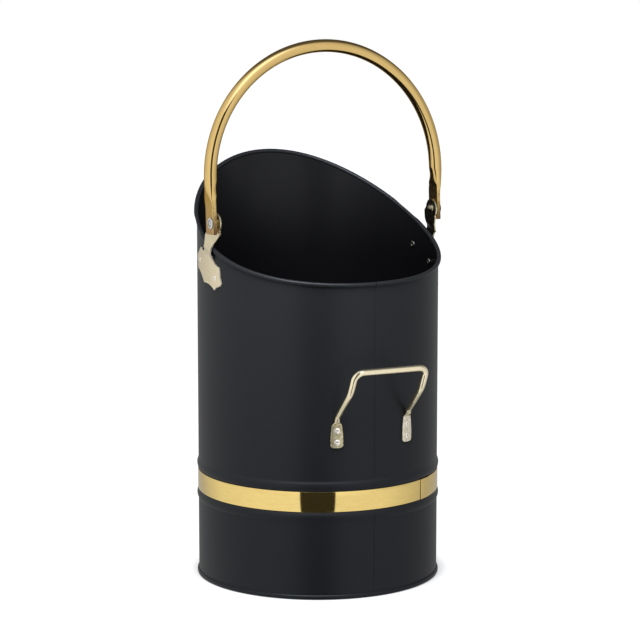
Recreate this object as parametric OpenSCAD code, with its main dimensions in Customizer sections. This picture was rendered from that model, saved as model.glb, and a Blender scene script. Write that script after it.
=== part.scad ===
// Round sheet-metal coal scuttle with a slanted mouth, a swinging bail and a tipping handle.
// The can's axis is Z and it stands on z = 0. The low side of the mouth, with the seam and
// the tipping handle, faces -Y. The bail swings about an axis along X. Sizes are millimetres.

/* [Can] */
// Outer diameter of the can's wall
body_d = 240; // [220:1:270]
// Thickness of the wall's sheet
wall_t = 0.8; // [0.6:0.1:1.2]
// Height of the rim roll's centre at the low side
rim_low_h = 309; // [290:1:330]
// Height of the rim roll's centre at the high side
rim_high_h = 413.5; // [380:0.5:440]
// How far the rim dips below a straight slant halfway round
rim_dip = 20.2; // [10:0.2:28]

/* [Rim roll] */
// Outer diameter of the rolled rim
roll_d = 4.4; // [3.8:0.1:5.2]
// Distance of the roll's centre outside the wall
roll_out = 0.6; // [0.3:0.1:1]
// Thickness of the rolled sheet
roll_t = 0.7; // [0.5:0.1:0.9]
// Gap between the roll's two ends at the seam
roll_split = 0.6; // [0.4:0.1:1.5]

/* [Foot and base] */
// Height of the folded foot seam
foot_h = 4.6; // [3.5:0.1:6]
// How far the foot seam bulges outside the wall
foot_out = 1.6; // [1.2:0.1:2.5]
// Thickness of the foot seam's web and inner leg
foot_t = 0.8; // [0.6:0.1:1.2]
// Height of the base pan's top face
pan_h = 9; // [7:0.5:16]
// Thickness of the base pan's sheet
pan_t = 0.8; // [0.6:0.1:1.2]
// Bend radius of the base pan's edge
pan_bend = 2; // [1.5:0.1:3]

/* [Seam] */
// Width of the seam's fold inside the wall
seam_w = 6; // [4:0.5:10]
// Thickness of the seam's fold
seam_t = 1.4; // [0.8:0.1:2]
// Width of the seam's line outside the wall
seam_line_w = 0.7; // [0.4:0.1:1.2]
// Depth of the seam's line
seam_line_t = 0.3; // [0.2:0.05:0.5]

/* [Band and ribs] */
// Height of the brass band's middle
band_z = 97.4; // [80:0.2:125]
// Width of the brass band
band_w = 20; // [14:0.5:26]
// Thickness of the brass strip
band_t = 0.6; // [0.4:0.1:1]
// Length of the strip's lapped end
band_lap = 12; // [8:1:20]
// Angle of the lap's edge from the seam
band_lap_angle = 30; // [20:1:60]
// Width of each pressed rib
rib_w = 9; // [7:0.5:12]
// Height of each rib above the wall
rib_h = 1.4; // [1.1:0.1:1.8]
// Space between the band and each rib
rib_space = 0.8; // [0.5:0.1:3]

/* [Ears] */
// Thickness of the ears' plate
ear_t = 1.4; // [1:0.1:2]
// Where the ear crosses the rim, in front of the can's axis
ear_front = 8.5; // [5:0.5:14]
// Distance from the rim down to the middle of the ear's leaf
ear_drop = 24; // [22:0.5:28]
// Distance from the rim up to the pivot
pivot_up = 28; // [26:0.5:34]
// Radius of the ear's round head
ear_head_r = 10.6; // [10:0.2:13]
// Half the width of the ear's neck
neck_r = 7.8; // [6.5:0.1:8.5]
// Half the width of the ear's leaf, from the middle to its side points
leaf_r = 29.5; // [27:0.5:32]
// Distance between the two rivets of one ear
ear_rivet_span = 36; // [34:1:40]

/* [Bail] */
// Diameter of the bail's tube
bail_d = 12; // [10:0.5:14]
// Wall of the bail's tube
bail_wall = 1.2; // [0.8:0.1:2]
// How far the bail's centreline stands outside the can's wall
bail_out = 5; // [4.4:0.1:6.5]
// Height of the arc's centre above the pivot
bail_rise = 42.4; // [36:0.2:80]
// Lean of the standing bail towards the high side
bail_lean = 3.5; // [0:0.5:6]
// How far the flattened ends lie inside the tube's centreline
flat_in = 0.8; // [0:0.1:1.2]
// Width of the bail's flattened ends
flat_w = 17; // [15:0.5:19]
// Thickness of the bail's flattened ends
flat_t = 3.5; // [2.6:0.1:4.5]
// Length of the flat below the pivot
flat_below = 11; // [9:0.5:14]
// Length of the flat above the pivot
flat_above = 23; // [18:0.5:24]
// Length over which the tube is flattened
flat_taper = 12; // [8:0.5:12]

/* [Pivots] */
// Diameter of the pivot rivets' shank
pivot_d = 5; // [4:0.1:6]
// Diameter of the pivot rivets' domed head
pivot_head_d = 10.4; // [9:0.1:13]
// Height of the domed head
pivot_head_h = 2.6; // [2:0.1:3.5]
// Diameter of the rivets' domed tail
pivot_tail_d = 8; // [7:0.1:9]
// Height of the domed tail
pivot_tail_h = 3.2; // [2:0.1:3.8]
// Diameter of the spacer washers
washer_d = 11; // [9:0.1:13]
// Thickness of the spacer washers
washer_t = 1.3; // [1:0.1:1.6]

/* [Sheet rivets] */
// Diameter of the sheet rivets' shank
rivet_d = 3.6; // [3:0.1:4.2]
// Diameter of the sheet rivets' domed head
rivet_head_d = 6.2; // [5.4:0.1:7.2]
// Height of the domed head
rivet_head_h = 1.6; // [1.2:0.1:2.2]
// Diameter of the spread tail inside the can
rivet_tail_d = 6.8; // [5.8:0.1:7.6]
// Height of the spread tail
rivet_tail_h = 1.1; // [0.8:0.1:1.6]

/* [Tipping handle] */
// Diameter of the bent rod
rod_d = 6.4; // [5:0.1:7]
// Distance between the middles of the two pads
pad_span = 78; // [64:1:90]
// Height of the pads' bottom edge
pad_z = 150.5; // [136:0.5:175]
// Height of each flattened pad, up to its shoulder
pad_h = 22; // [21:0.5:26]
// Greatest width of each pad
pad_w = 13.4; // [12:0.1:15]
// Width of each pad at its shoulder
pad_top_w = 10.4; // [9:0.1:11.5]
// Thickness of each pad
pad_t = 2.2; // [1.6:0.1:2.8]
// Corner radius at each pad's bottom
pad_round = 4.5; // [3:0.5:5.5]
// Height of the lower rivet above the pad's bottom edge
pad_rivet_z = 6; // [5:0.1:7]
// Distance between the two rivets of one pad
pad_rivet_span = 11.4; // [9:0.1:12]
// Length over which the pad narrows to the rod
pad_taper = 5; // [4:0.5:8]
// Elevation of the leg's long stretch
leg_angle = 46; // [40:1:55]
// Length of the leg's long stretch
leg_len = 31; // [22:1:38]
// Elevation of the leg's top stretch
leg_top_angle = 66; // [60:1:75]
// Length of the leg's top stretch
leg_top_len = 6; // [3:0.5:14]
// Radius of the bend next to the pad
pad_bend_r = 8; // [6:0.5:12]
// Radius of the bend halfway up the leg
leg_bend_r = 30; // [20:1:40]
// Radius of the bar's corner bends
corner_r = 9; // [7:0.5:12]

/* [Clearances] */
// Gap between pieces that are riveted or folded together
fit_gap = 0.05; // [0.03:0.01:0.08]
// Side gap along the pivot at each turning face
run_gap = 0.1; // [0.05:0.01:0.2]
// Radial clearance of the pivot shank in the bail's bore
bore_gap = 0.06; // [0.03:0.01:0.1]
// Clearance of the wall's top edge in the rim roll
roll_gap = 0.15; // [0.12:0.01:0.2]

/* [Hidden] */
$fn = 96;

BLACK = "#2c2c2e";
BRASS = "#d8ad4e";
PALE_BRASS = "#dccba0";
SILVER = "#c9ccd0";

FRONT = 0;  // an angle from the seam, which is on the low side
BACK = 180;
EPS = 0.01;

body_r = body_d / 2;
inner_r = body_r - wall_t;
roll_r = roll_d / 2;
roll_path_r = body_r + roll_out;
rim_mid_h = (rim_low_h + rim_high_h) / 2;
rim_half_h = (rim_high_h - rim_low_h) / 2;

// The mouth. An angle goes round from the low side, and y runs to the high side.
function rim_z(angle) = rim_mid_h - rim_half_h * cos(angle) - rim_dip * pow(sin(angle), 2);
function rim_z_at(y) = rim_z(acos(-y / body_r));
function rim_rise(angle) =
    atan(sin(angle) * (rim_half_h - 2 * rim_dip * cos(angle)) / body_r);
// Drop from the roll's centre to the wall's top edge, square to the rim
wall_drop = sqrt(pow(roll_r, 2) - pow(roll_out + wall_t, 2)) + roll_gap / 2;
mouth_step = 5;

// Points along an arc in the plane
function arc(x, y, r, from, to, steps) =
    [for (i = [0:steps]) let (a = from + (to - from) * i / steps) [x + r * cos(a), y + r * sin(a)]];

// Foot and base
web_top = foot_t + fit_gap;
pan_r = inner_r - fit_gap;
foot_leg_r = pan_r - pan_t - fit_gap - foot_t;

// Ribs: each is an arc of this radius, centred inside the wall
rib_r = (pow(rib_w / 2, 2) + pow(rib_h, 2)) / (2 * rib_h);
rib_offset = band_w / 2 + rib_space + rib_w / 2;

// Ears: the local frame has +Z along the ear, square to the rim, and +Y across it
ear_cross_y = -ear_front;
ear_tilt = atan(rim_half_h / body_r + 2 * rim_dip * ear_cross_y / pow(body_r, 2));
leaf_y = ear_cross_y + ear_drop * sin(ear_tilt);
leaf_z = rim_z_at(ear_cross_y) - ear_drop * cos(ear_tilt);
pivot_y = ear_cross_y - pivot_up * sin(ear_tilt);
pivot_z = rim_z_at(ear_cross_y) + pivot_up * cos(ear_tilt);
head_up = ear_drop + pivot_up;

// Places along X, from the bail inwards
bail_r = body_r + bail_out;
flat_in_x = bail_r - flat_in - flat_t / 2;
flat_out_x = flat_in_x + flat_t;
washer_x = flat_in_x - run_gap - washer_t;
head_in_x = washer_x - fit_gap - ear_t;
leaf_in_x = body_r + fit_gap;
roll_clear_x = body_r + roll_out + roll_r + roll_gap;

// Tipping handle
rod_r = rod_d / 2;
rod_path_r = body_r + fit_gap + rod_r;
pad_angle = asin(pad_span / 2 / rod_path_r);
rod_start = [pad_span / 2, -rod_path_r * cos(pad_angle), pad_z + pad_h + pad_taper];
flat_sink = 2;     // how far the rod's flat end reaches down inside the pad
flat_inset = 0.3;  // and how far inside the pad's faces it stays

module above_rim(below) {
    // Everything over the mouth's curve, lowered by a distance square to the rim
    outline = [for (a = [FRONT:mouth_step:BACK])
                  [-body_r * cos(a), rim_z(a) - below / cos(rim_rise(a))]];
    far = body_r + 20;
    top = rim_high_h + 50;
    rotate([90, 0, 90])
        linear_extrude(2 * far, center = true)
            polygon(concat([[-far, outline[0][1]]], outline,
                           [[far, outline[len(outline) - 1][1]], [far, top], [-far, top]]));
}

module rib_rings(shrink) {
    for (side = [-1, 1])
        translate([0, 0, band_z + side * rib_offset])
            rotate_extrude()
                translate([body_r + rib_h - rib_r, 0])
                    circle(r = rib_r - shrink);
}

// Puts its children on the wall, with local +Z pointing out of the can
module at_wall(azimuth, z) {
    rotate([0, 0, azimuth])
        translate([body_r, 0, z])
            rotate([0, 90, 0])
                children();
}

module at_ear_rivet(side) {
    y = leaf_y + side * ear_rivet_span / 2 * cos(ear_tilt);
    at_wall(asin(y / body_r), leaf_z + side * ear_rivet_span / 2 * sin(ear_tilt)) children();
}

module at_pad_rivet(side, row) {
    at_wall(side * pad_angle - 90, pad_z + pad_rivet_z + row * pad_rivet_span) children();
}

module rivet_bore() {
    cylinder(h = 20, d = rivet_d + 2 * fit_gap, center = true);
}

module body_shell() color(BLACK) {
    difference() {
        union() {
            translate([0, 0, web_top]) cylinder(h = rim_high_h, r = body_r);
            rib_rings(0);
        }
        difference() {
            union() {
                cylinder(h = 2 * rim_high_h, r = inner_r, center = true);
                rib_rings(wall_t);
            }
            seam_fold();
        }
        above_rim(wall_drop);
        translate([-seam_line_w / 2, -body_r - 1, 0])
            cube([seam_line_w, 1 + seam_line_t, band_z - rib_offset - rib_w / 2]);
        translate([-seam_line_w / 2, -body_r - 1, band_z + rib_offset + rib_w / 2])
            cube([seam_line_w, 1 + seam_line_t, rim_low_h]);
        for (side = [-1, 1]) {
            at_ear_rivet(side) rivet_bore();
            mirror([1, 0, 0]) at_ear_rivet(side) rivet_bore();
            for (row = [0, 1]) at_pad_rivet(side, row) rivet_bore();
        }
    }
}

// The folded sheet behind the seam, kept as a strip of the can's own metal
module seam_fold() {
    difference() {
        translate([-seam_w / 2, -inner_r - EPS, pan_h + fit_gap])
            cube([seam_w, wall_t + seam_t, rim_low_h - roll_r - pan_h - 3]);
        cylinder(h = 2 * rim_high_h, r = inner_r - seam_t, center = true);
    }
}

// The roll is a C in section: it starts inside the wall's top edge and ends outside it
function roll_section() =
    let (start = 180 + acos((roll_out + wall_t + roll_gap) / roll_r),
         end = -180 + acos((roll_out - roll_gap) / roll_r),
         steps = 12)
    concat(arc(0, 0, roll_r, start, end, steps), arc(0, 0, roll_r - roll_t, end, start, steps));

function roll_ring(a) =
    let (rise = rim_rise(a),
         out = [sin(a), -cos(a), 0],
         up = [-sin(rise) * cos(a), -sin(rise) * sin(a), cos(rise)],
         centre = [roll_path_r * sin(a), -roll_path_r * cos(a), rim_z(a)])
    [for (p = roll_section()) centre + p[0] * out + p[1] * up];

module rim_roll() color(BLACK) {
    gap_angle = roll_split / 2 / roll_path_r * 180 / PI;
    count = 360 / mouth_step;
    angles = [for (i = [0:count]) min(max(i * mouth_step, gap_angle), 360 - gap_angle)];
    n = len(roll_section());
    half = n / 2;
    points = [for (a = angles) each roll_ring(a)];
    last = count * n;
    sides = [for (i = [0:count - 1], j = [0:n - 1])
                let (k = (j + 1) % n)
                each [[i * n + j, (i + 1) * n + j, i * n + k],
                      [i * n + k, (i + 1) * n + j, (i + 1) * n + k]]];
    caps = [for (j = [0:half - 2])
               each [[j, j + 1, n - 2 - j, n - 1 - j],
                     [last + j + 1, last + j, last + n - 1 - j, last + n - 2 - j]]];
    polyhedron(points, concat(sides, caps));
}

module base_pan() color(BLACK) {
    outline = concat([[0, pan_h - pan_t]],
                     arc(pan_r - pan_bend, pan_h - pan_bend, pan_bend - pan_t, 90, 0, 6),
                     [[pan_r - pan_t, web_top], [pan_r, web_top]],
                     arc(pan_r - pan_bend, pan_h - pan_bend, pan_bend, 0, 90, 6),
                     [[0, pan_h]]);
    rotate_extrude() polygon(outline);
}

module foot_seam() color(BLACK) {
    bulge = foot_h / 2;
    squash = (foot_out - fit_gap) / bulge;
    outer = [for (p = arc(0, bulge, bulge, -90, 90, 12))
                [body_r + fit_gap + p[0] * squash, p[1]]];
    outline = concat([[foot_leg_r, 0]], outer,
                     [[body_r + fit_gap, foot_t], [foot_leg_r + foot_t, foot_t],
                      [foot_leg_r + foot_t, foot_h - foot_t / 2],
                      [foot_leg_r, foot_h - foot_t / 2]]);
    rotate_extrude() polygon(outline);
}

module brass_band() color(BRASS) {
    band_in_r = body_r + fit_gap;
    lap_turn = band_lap / body_r * 180 / PI;
    lap_inset = 0.2;
    translate([0, 0, band_z - band_w / 2]) {
        difference() {
            cylinder(h = band_w, r = band_in_r + band_t);
            cylinder(h = 3 * band_w, r = band_in_r, center = true);
        }
        rotate([0, 0, band_lap_angle - 90])
            rotate_extrude(angle = lap_turn)
                translate([band_in_r + band_t / 2, lap_inset])
                    square([band_t * 1.2, band_w - 2 * lap_inset]);
    }
}

// Half outlines of the ear, across and along it from the leaf's middle
leaf_half = [[0, -13.5], [11.5, -9.5], [leaf_r - 8, -11.5], [leaf_r - 4.5, -4.5],
             [leaf_r, -1.5], [leaf_r - 3.5, 6.5], [leaf_r - 8, 13.8], [neck_r + 4, 14.2],
             [0, 14.2]];
neck_half = [[0, 10], [neck_r, 10], [neck_r + 4, 14.2], [neck_r + 0.9, 18.5], [neck_r, ear_drop],
             [neck_r + 0.6, head_up - 22], [neck_r + 3, head_up - 14.5],
             [ear_head_r + 2.2, head_up - 9.5], [ear_head_r, head_up - 3], [0, head_up]];

function both_sides(half) =
    concat(half, [for (i = [len(half) - 1:-1:0]) if (half[i][0] > 0) [-half[i][0], half[i][1]]]);

// Puts its children in the right ear's frame, from the leaf's middle on the can's axis
module in_ear_frame() {
    translate([0, leaf_y, leaf_z])
        rotate([ear_tilt, 0, 0])
            children();
}

module ear_prism() {
    translate([body_r - 30, 0, 0])
        rotate([90, 0, 90])
            linear_extrude(60)
                children();
}

// The neck's plate steps out over the rim roll and leans back in to the head
module neck_plate() {
    over = roll_r + 1.6;
    face = [[leaf_in_x, 9], [leaf_in_x, ear_drop - over - 3.5], [roll_clear_x, ear_drop - over],
            [roll_clear_x, ear_drop + over], [head_in_x, ear_drop + over + 8],
            [head_in_x, head_up + ear_head_r + 1]];
    back = [for (i = [len(face) - 1:-1:0]) [face[i][0] + ear_t, face[i][1]]];
    rotate([90, 0, 0])
        linear_extrude(2 * leaf_r, center = true)
            polygon(concat(face, back));
}

module right_ear_plate() {
    difference() {
        union() {
            intersection() {
                in_ear_frame() ear_prism() polygon(both_sides(leaf_half));
                difference() {
                    cylinder(h = rim_high_h, r = leaf_in_x + ear_t);
                    cylinder(h = 3 * rim_high_h, r = leaf_in_x, center = true);
                }
            }
            in_ear_frame()
                intersection() {
                    union() {
                        ear_prism() polygon(both_sides(neck_half));
                        translate([body_r, 0, head_up])
                            rotate([0, 90, 0])
                                cylinder(h = 60, r = ear_head_r, center = true);
                    }
                    neck_plate();
                }
        }
        for (side = [-1, 1]) at_ear_rivet(side) rivet_bore();
        in_ear_frame()
            translate([body_r, 0, head_up])
                rotate([0, 90, 0])
                    cylinder(h = 60, d = pivot_d + 2 * fit_gap, center = true);
    }
}

module right_ear() color(PALE_BRASS) right_ear_plate();

module left_ear() color(PALE_BRASS) mirror([1, 0, 0]) right_ear_plate();

module dome(d, h) {
    ball_r = (pow(d / 2, 2) + pow(h, 2)) / (2 * h);
    intersection() {
        translate([0, 0, h - ball_r]) sphere(r = ball_r);
        cylinder(h = h + 1, d = d + 1);
    }
}

// The head's underside is on z = 0 and the shank hangs below it
module headed_pin(length, shank_d, head_d, head_h) {
    dome(head_d, head_h);
    translate([0, 0, -length]) cylinder(h = length + EPS, d = shank_d);
}

module right_pivot() {
    grip = flat_out_x + run_gap - head_in_x + fit_gap;
    translate([flat_out_x + run_gap, pivot_y, pivot_z])
        rotate([0, 90, 0]) {
            headed_pin(grip + EPS, pivot_d, pivot_head_d, pivot_head_h);
            translate([0, 0, -grip]) mirror([0, 0, 1]) dome(pivot_tail_d, pivot_tail_h);
        }
}

module right_pivot_rivet() color(SILVER) right_pivot();

module left_pivot_rivet() color(SILVER) mirror([1, 0, 0]) right_pivot();

module right_spacer() {
    translate([washer_x, pivot_y, pivot_z])
        rotate([0, 90, 0])
            difference() {
                cylinder(h = washer_t, d = washer_d);
                cylinder(h = 3 * washer_t, d = pivot_d + 2 * fit_gap, center = true);
            }
}

module right_washer() color(BRASS) right_spacer();

module left_washer() color(BRASS) mirror([1, 0, 0]) right_spacer();

// A tubular rivet through a plate of the given thickness and the wall behind it
module sheet_rivet(plate_t) color(SILVER) {
    out = plate_t + 2 * fit_gap;
    length = out + wall_t + fit_gap + rivet_tail_h;
    tube_depth = rivet_tail_h + 0.6;
    translate([0, 0, out])
        difference() {
            union() {
                headed_pin(length, rivet_d, rivet_head_d, rivet_head_h);
                translate([0, 0, -length]) cylinder(h = rivet_tail_h, d = rivet_tail_d);
            }
            translate([0, 0, -length - 1]) cylinder(h = tube_depth + 1, d = rivet_d * 0.55);
        }
}

module ear_rivet(side) at_ear_rivet(side) sheet_rivet(ear_t);

module pad_rivet(side, row) at_pad_rivet(side, row) sheet_rivet(pad_t);

module right_ear_front_rivet() ear_rivet(-1);
module right_ear_back_rivet() ear_rivet(1);
module left_ear_front_rivet() mirror([1, 0, 0]) ear_rivet(-1);
module left_ear_back_rivet() mirror([1, 0, 0]) ear_rivet(1);
module right_pad_low_rivet() pad_rivet(1, 0);
module right_pad_top_rivet() pad_rivet(1, 1);
module left_pad_low_rivet() pad_rivet(-1, 0);
module left_pad_top_rivet() pad_rivet(-1, 1);

// One arm of the bail, in the bail's own frame: the pivot is the origin, Z runs up the arm
module bail_arm() {
    arm_start = flat_above + flat_taper;
    difference() {
        union() {
            translate([flat_in_x, -flat_w / 2, -flat_below])
                cube([flat_t, flat_w, flat_below + flat_above]);
            hull() {
                translate([flat_in_x, -flat_w / 2, flat_above - EPS])
                    cube([flat_t, flat_w, EPS]);
                translate([bail_r, 0, arm_start]) cylinder(h = EPS, d = bail_d, $fn = 32);
            }
            translate([bail_r, 0, arm_start]) cylinder(h = bail_rise - arm_start, d = bail_d);
        }
        translate([bail_r, 0, 0])
            rotate([0, 90, 0])
                cylinder(h = 4 * flat_t, d = pivot_d + 2 * bore_gap, center = true);
        translate([bail_r, 0, arm_start + 1])
            cylinder(h = bail_rise, d = bail_d - 2 * bail_wall);
    }
}

module bail() color(BRASS) {
    translate([0, pivot_y, pivot_z])
        rotate([-bail_lean, 0, 0]) {
            bail_arm();
            mirror([1, 0, 0]) bail_arm();
            translate([0, 0, bail_rise])
                rotate([90, 0, 0])
                    rotate_extrude(angle = 180)
                        translate([bail_r, 0])
                            difference() {
                                circle(d = bail_d);
                                circle(d = bail_d - 2 * bail_wall);
                            }
        }
}

// The rod's path is worked out in the leg's plane, where v runs out of the can and the
// heading is an elevation. x is the leg's distance from the middle.
function heading(h) = [cos(h), sin(h)];
function left_of(h) = [-sin(h), cos(h)];

function leg_path() =
    let (start = [-rod_start[1], rod_start[2]],
         c1 = start - pad_bend_r * left_of(90),
         low_bend = [for (i = [0:6]) let (h = 90 + (leg_angle - 90) * i / 6)
                        c1 + pad_bend_r * left_of(h)],
         p2 = low_bend[6] + leg_len * heading(leg_angle),
         c2 = p2 + leg_bend_r * left_of(leg_angle),
         mid_bend = [for (i = [0:3]) let (h = leg_angle + (leg_top_angle - leg_angle) * i / 3)
                        c2 - leg_bend_r * left_of(h)],
         p4 = mid_bend[3] + leg_top_len * heading(leg_top_angle))
    [for (p = concat(low_bend, mid_bend, [p4])) [rod_start[0], -p[0], p[1]]];

function corner_path(from) =
    let (along = [0, -cos(leg_top_angle), sin(leg_top_angle)], steps = 8)
    [for (i = [1:steps]) let (t = 90 * i / steps)
        from + corner_r * ((cos(t) - 1) * [1, 0, 0] + sin(t) * along)];

// A ring is [centre, outward vector, half thickness, half width, squareness]. The rod is
// flattened where it runs into the pad, and the flat end lies inside the pad.
function taper_ring(t) =
    let (up = pad_z + pad_h - flat_sink + (pad_taper + flat_sink) * t,
         swell = t * t * (3 - 2 * t),
         thick = (pad_t / 2 - flat_inset) * (1 - swell) + rod_r * swell,
         wide = (pad_top_w / 2 - flat_inset) * (1 - swell) + rod_r * swell,
         r = leaf_in_x + pad_t / 2 + (rod_r - pad_t / 2) * swell,
         side = asin(rod_start[0] / rod_path_r))
    [[r * sin(side), -r * cos(side), up], [sin(side * (1 - t)), -cos(side * (1 - t)), 0],
     thick, wide, 0.5 + 0.5 * swell];

function half_handle() =
    let (leg = leg_path(),
         bend_out = [0, -sin(leg_top_angle), -cos(leg_top_angle)])
    concat([for (i = [0:5]) taper_ring(i / 6)],
           [for (p = concat(leg, corner_path(leg[len(leg) - 1])))
               [p, bend_out, rod_r, rod_r, 1]]);

function mirrored(ring) =
    [[-ring[0][0], ring[0][1], ring[0][2]], [-ring[1][0], ring[1][1], ring[1][2]],
     ring[2], ring[3], ring[4]];

function unit(v) = v / norm(v);
function power(c, p) = sign(c) * pow(abs(c), p);

module handle_rod() {
    right = half_handle();
    rings = concat(right, [for (i = [len(right) - 1:-1:0]) mirrored(right[i])]);
    sides = 16;
    last = len(rings) - 1;
    points = [for (i = [0:last])
                 let (ahead = rings[min(i + 1, last)][0] - rings[max(i - 1, 0)][0],
                      along = i == 0 || i == last ? [0, 0, sign(ahead[2])] : unit(ahead),
                      out = unit(rings[i][1] - (rings[i][1] * along) * along),
                      across = cross(along, out))
                 for (j = [0:sides - 1])
                     let (a = 360 * j / sides)
                     rings[i][0] + rings[i][2] * power(cos(a), rings[i][4]) * out
                     + rings[i][3] * power(sin(a), rings[i][4]) * across];
    skin = [for (i = [0:last - 1], j = [0:sides - 1])
               let (k = (j + 1) % sides)
               each [[i * sides + j, (i + 1) * sides + j, i * sides + k],
                     [i * sides + k, (i + 1) * sides + j, (i + 1) * sides + k]]];
    polyhedron(points, concat(skin, [[for (j = [0:sides - 1]) j],
                                     [for (j = [sides - 1:-1:0]) last * sides + j]]));
}

module pad() {
    half = pad_w / 2;
    outline = concat(arc(half - pad_round, pad_round, pad_round, -90, 0, 6),
                     [[half, pad_h * 0.4], [pad_top_w / 2, pad_h],
                      [-pad_top_w / 2, pad_h], [-half, pad_h * 0.4]],
                     arc(pad_round - half, pad_round, pad_round, 180, 270, 6));
    difference() {
        intersection() {
            rotate([0, 0, pad_angle])
                translate([0, -body_r + 10, pad_z])
                    rotate([90, 0, 0])
                        linear_extrude(30)
                            polygon(outline);
            difference() {
                cylinder(h = rim_high_h, r = leaf_in_x + pad_t);
                cylinder(h = 3 * rim_high_h, r = leaf_in_x, center = true);
            }
        }
        for (row = [0, 1]) at_pad_rivet(1, row) rivet_bore();
    }
}

module tipping_handle() color(PALE_BRASS) {
    pad();
    mirror([1, 0, 0]) pad();
    handle_rod();
}

body_shell();
rim_roll();
base_pan();
foot_seam();
brass_band();
bail();
left_ear();
right_ear();
left_pivot_rivet();
right_pivot_rivet();
left_washer();
right_washer();
left_ear_front_rivet();
left_ear_back_rivet();
right_ear_front_rivet();
right_ear_back_rivet();
tipping_handle();
left_pad_low_rivet();
left_pad_top_rivet();
right_pad_low_rivet();
right_pad_top_rivet();
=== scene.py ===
import math

import bmesh
import bpy
import numpy as np
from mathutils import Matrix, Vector


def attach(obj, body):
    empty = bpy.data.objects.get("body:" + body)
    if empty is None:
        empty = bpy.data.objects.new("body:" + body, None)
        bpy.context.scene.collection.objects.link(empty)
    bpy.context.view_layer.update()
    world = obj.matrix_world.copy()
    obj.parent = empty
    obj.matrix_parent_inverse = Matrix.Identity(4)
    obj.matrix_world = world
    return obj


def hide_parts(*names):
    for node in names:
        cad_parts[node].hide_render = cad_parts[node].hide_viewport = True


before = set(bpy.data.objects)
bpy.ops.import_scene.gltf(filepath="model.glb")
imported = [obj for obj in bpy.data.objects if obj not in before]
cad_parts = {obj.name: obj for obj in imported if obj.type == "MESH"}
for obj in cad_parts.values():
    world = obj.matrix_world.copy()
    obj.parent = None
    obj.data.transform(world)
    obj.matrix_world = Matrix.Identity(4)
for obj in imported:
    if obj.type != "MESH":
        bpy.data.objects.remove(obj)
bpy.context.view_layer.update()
print("scuttle: frame loaded")

mm = 0.001  # the pieces and the studio are written in millimetres
sideWords = {-1: "left", 1: "right"}
lampSpares = []  # polished pieces that the lamp leaves out


def arc(x, y, r, start, end, steps):
    turns = np.radians(np.linspace(start, end, steps + 1))
    return np.column_stack([x + r * np.cos(turns), y + r * np.sin(turns)])


def smoothStep(t):
    t = np.clip(t, 0, 1)
    return t * t * (3 - 2 * t)


def fading(value, low, high):
    # 1 up to low, then smoothly down to 0 at high
    return 1 - float(smoothStep((value - low) / (high - low)))


def makeObject(name, points, faces, crease=35):
    mesh = bpy.data.meshes.new(name)
    mesh.from_pydata([tuple(p) for p in np.asarray(points, float) * mm], [], faces)
    shape = bmesh.new()
    shape.from_mesh(mesh)
    bmesh.ops.remove_doubles(shape, verts=shape.verts, dist=2e-6)
    bmesh.ops.recalc_face_normals(shape, faces=shape.faces)
    shape.to_mesh(mesh)
    shape.free()
    mesh.shade_smooth()
    mesh.set_sharp_from_angle(angle=math.radians(crease))
    thing = bpy.data.objects.new(name, mesh)
    bpy.context.scene.collection.objects.link(thing)
    return thing


def loft(rings, closed=False):
    # skins a row of rings; a row that isn't closed gets a face at each end
    rings = [np.asarray(r, float) for r in rings]
    sides = len(rings[0])
    points = np.vstack(rings)
    faces = []
    for i in range(len(rings) if closed else len(rings) - 1):
        a = i * sides
        b = (i + 1) % len(rings) * sides
        for j in range(sides):
            k = (j + 1) % sides
            faces.append((a + j, b + j, b + k, a + k))
    if not closed:
        last = (len(rings) - 1) * sides
        faces.append(tuple(range(sides)))
        faces.append(tuple(range(last + sides - 1, last - 1, -1)))
    return points, faces


def joined(parts):
    points = []
    faces = []
    for somePoints, someFaces in parts:
        start = sum(len(p) for p in points)
        points.append(np.asarray(somePoints, float))
        faces += [tuple(start + v for v in face) for face in someFaces]
    return np.vstack(points), faces


def atTurn(turn, r, z):
    # turns are in degrees from the low side, which faces -Y, towards +X
    t = math.radians(turn)
    return np.column_stack([r * math.sin(t), -r * math.cos(t), z])


def turned(outline, steps):
    # a closed outline of (radius, height) turned round the Z axis
    rings = [atTurn(i * 360.0 / steps, outline[:, 0], outline[:, 1]) for i in range(steps)]
    return loft(rings, closed=True)


def latheOnAxis(profile, steps):
    # a profile of (distance, height) whose two ends lie on the axis
    points = [(0, 0, profile[0][1])]
    for r, z in profile[1:-1]:
        for i in range(steps):
            t = 2 * math.pi * i / steps
            points.append((r * math.cos(t), r * math.sin(t), z))
    points.append((0, 0, profile[-1][1]))
    faces = []
    rows = len(profile) - 2
    for i in range(steps):
        k = (i + 1) % steps
        faces.append((0, 1 + i, 1 + k))
        for row in range(rows - 1):
            a = 1 + row * steps
            b = a + steps
            faces.append((a + i, b + i, b + k, a + k))
        a = 1 + (rows - 1) * steps
        faces.append((a + i, a + k, len(points) - 1))
    return np.array(points, float), faces


def mirroredX(points):
    return np.asarray(points) * np.array([-1.0, 1.0, 1.0])


def sidedObject(side, kind, points, faces, crease):
    # points are given for the right side; the left piece is their mirror image
    if side < 0:
        points = mirroredX(points)
    return makeObject(sideWords[side] + kind, points, faces, crease)


def dress(thing, body, node, material):
    thing.data.materials.append(material)
    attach(thing, body)
    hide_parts(node)
    return thing


def colourOf(value):
    # a grey level, a colour or another node's output, as a colour input takes it
    if isinstance(value, bpy.types.NodeSocket):
        return value
    return (value, value, value, 1) if isinstance(value, (int, float)) else (*value, 1)


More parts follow.
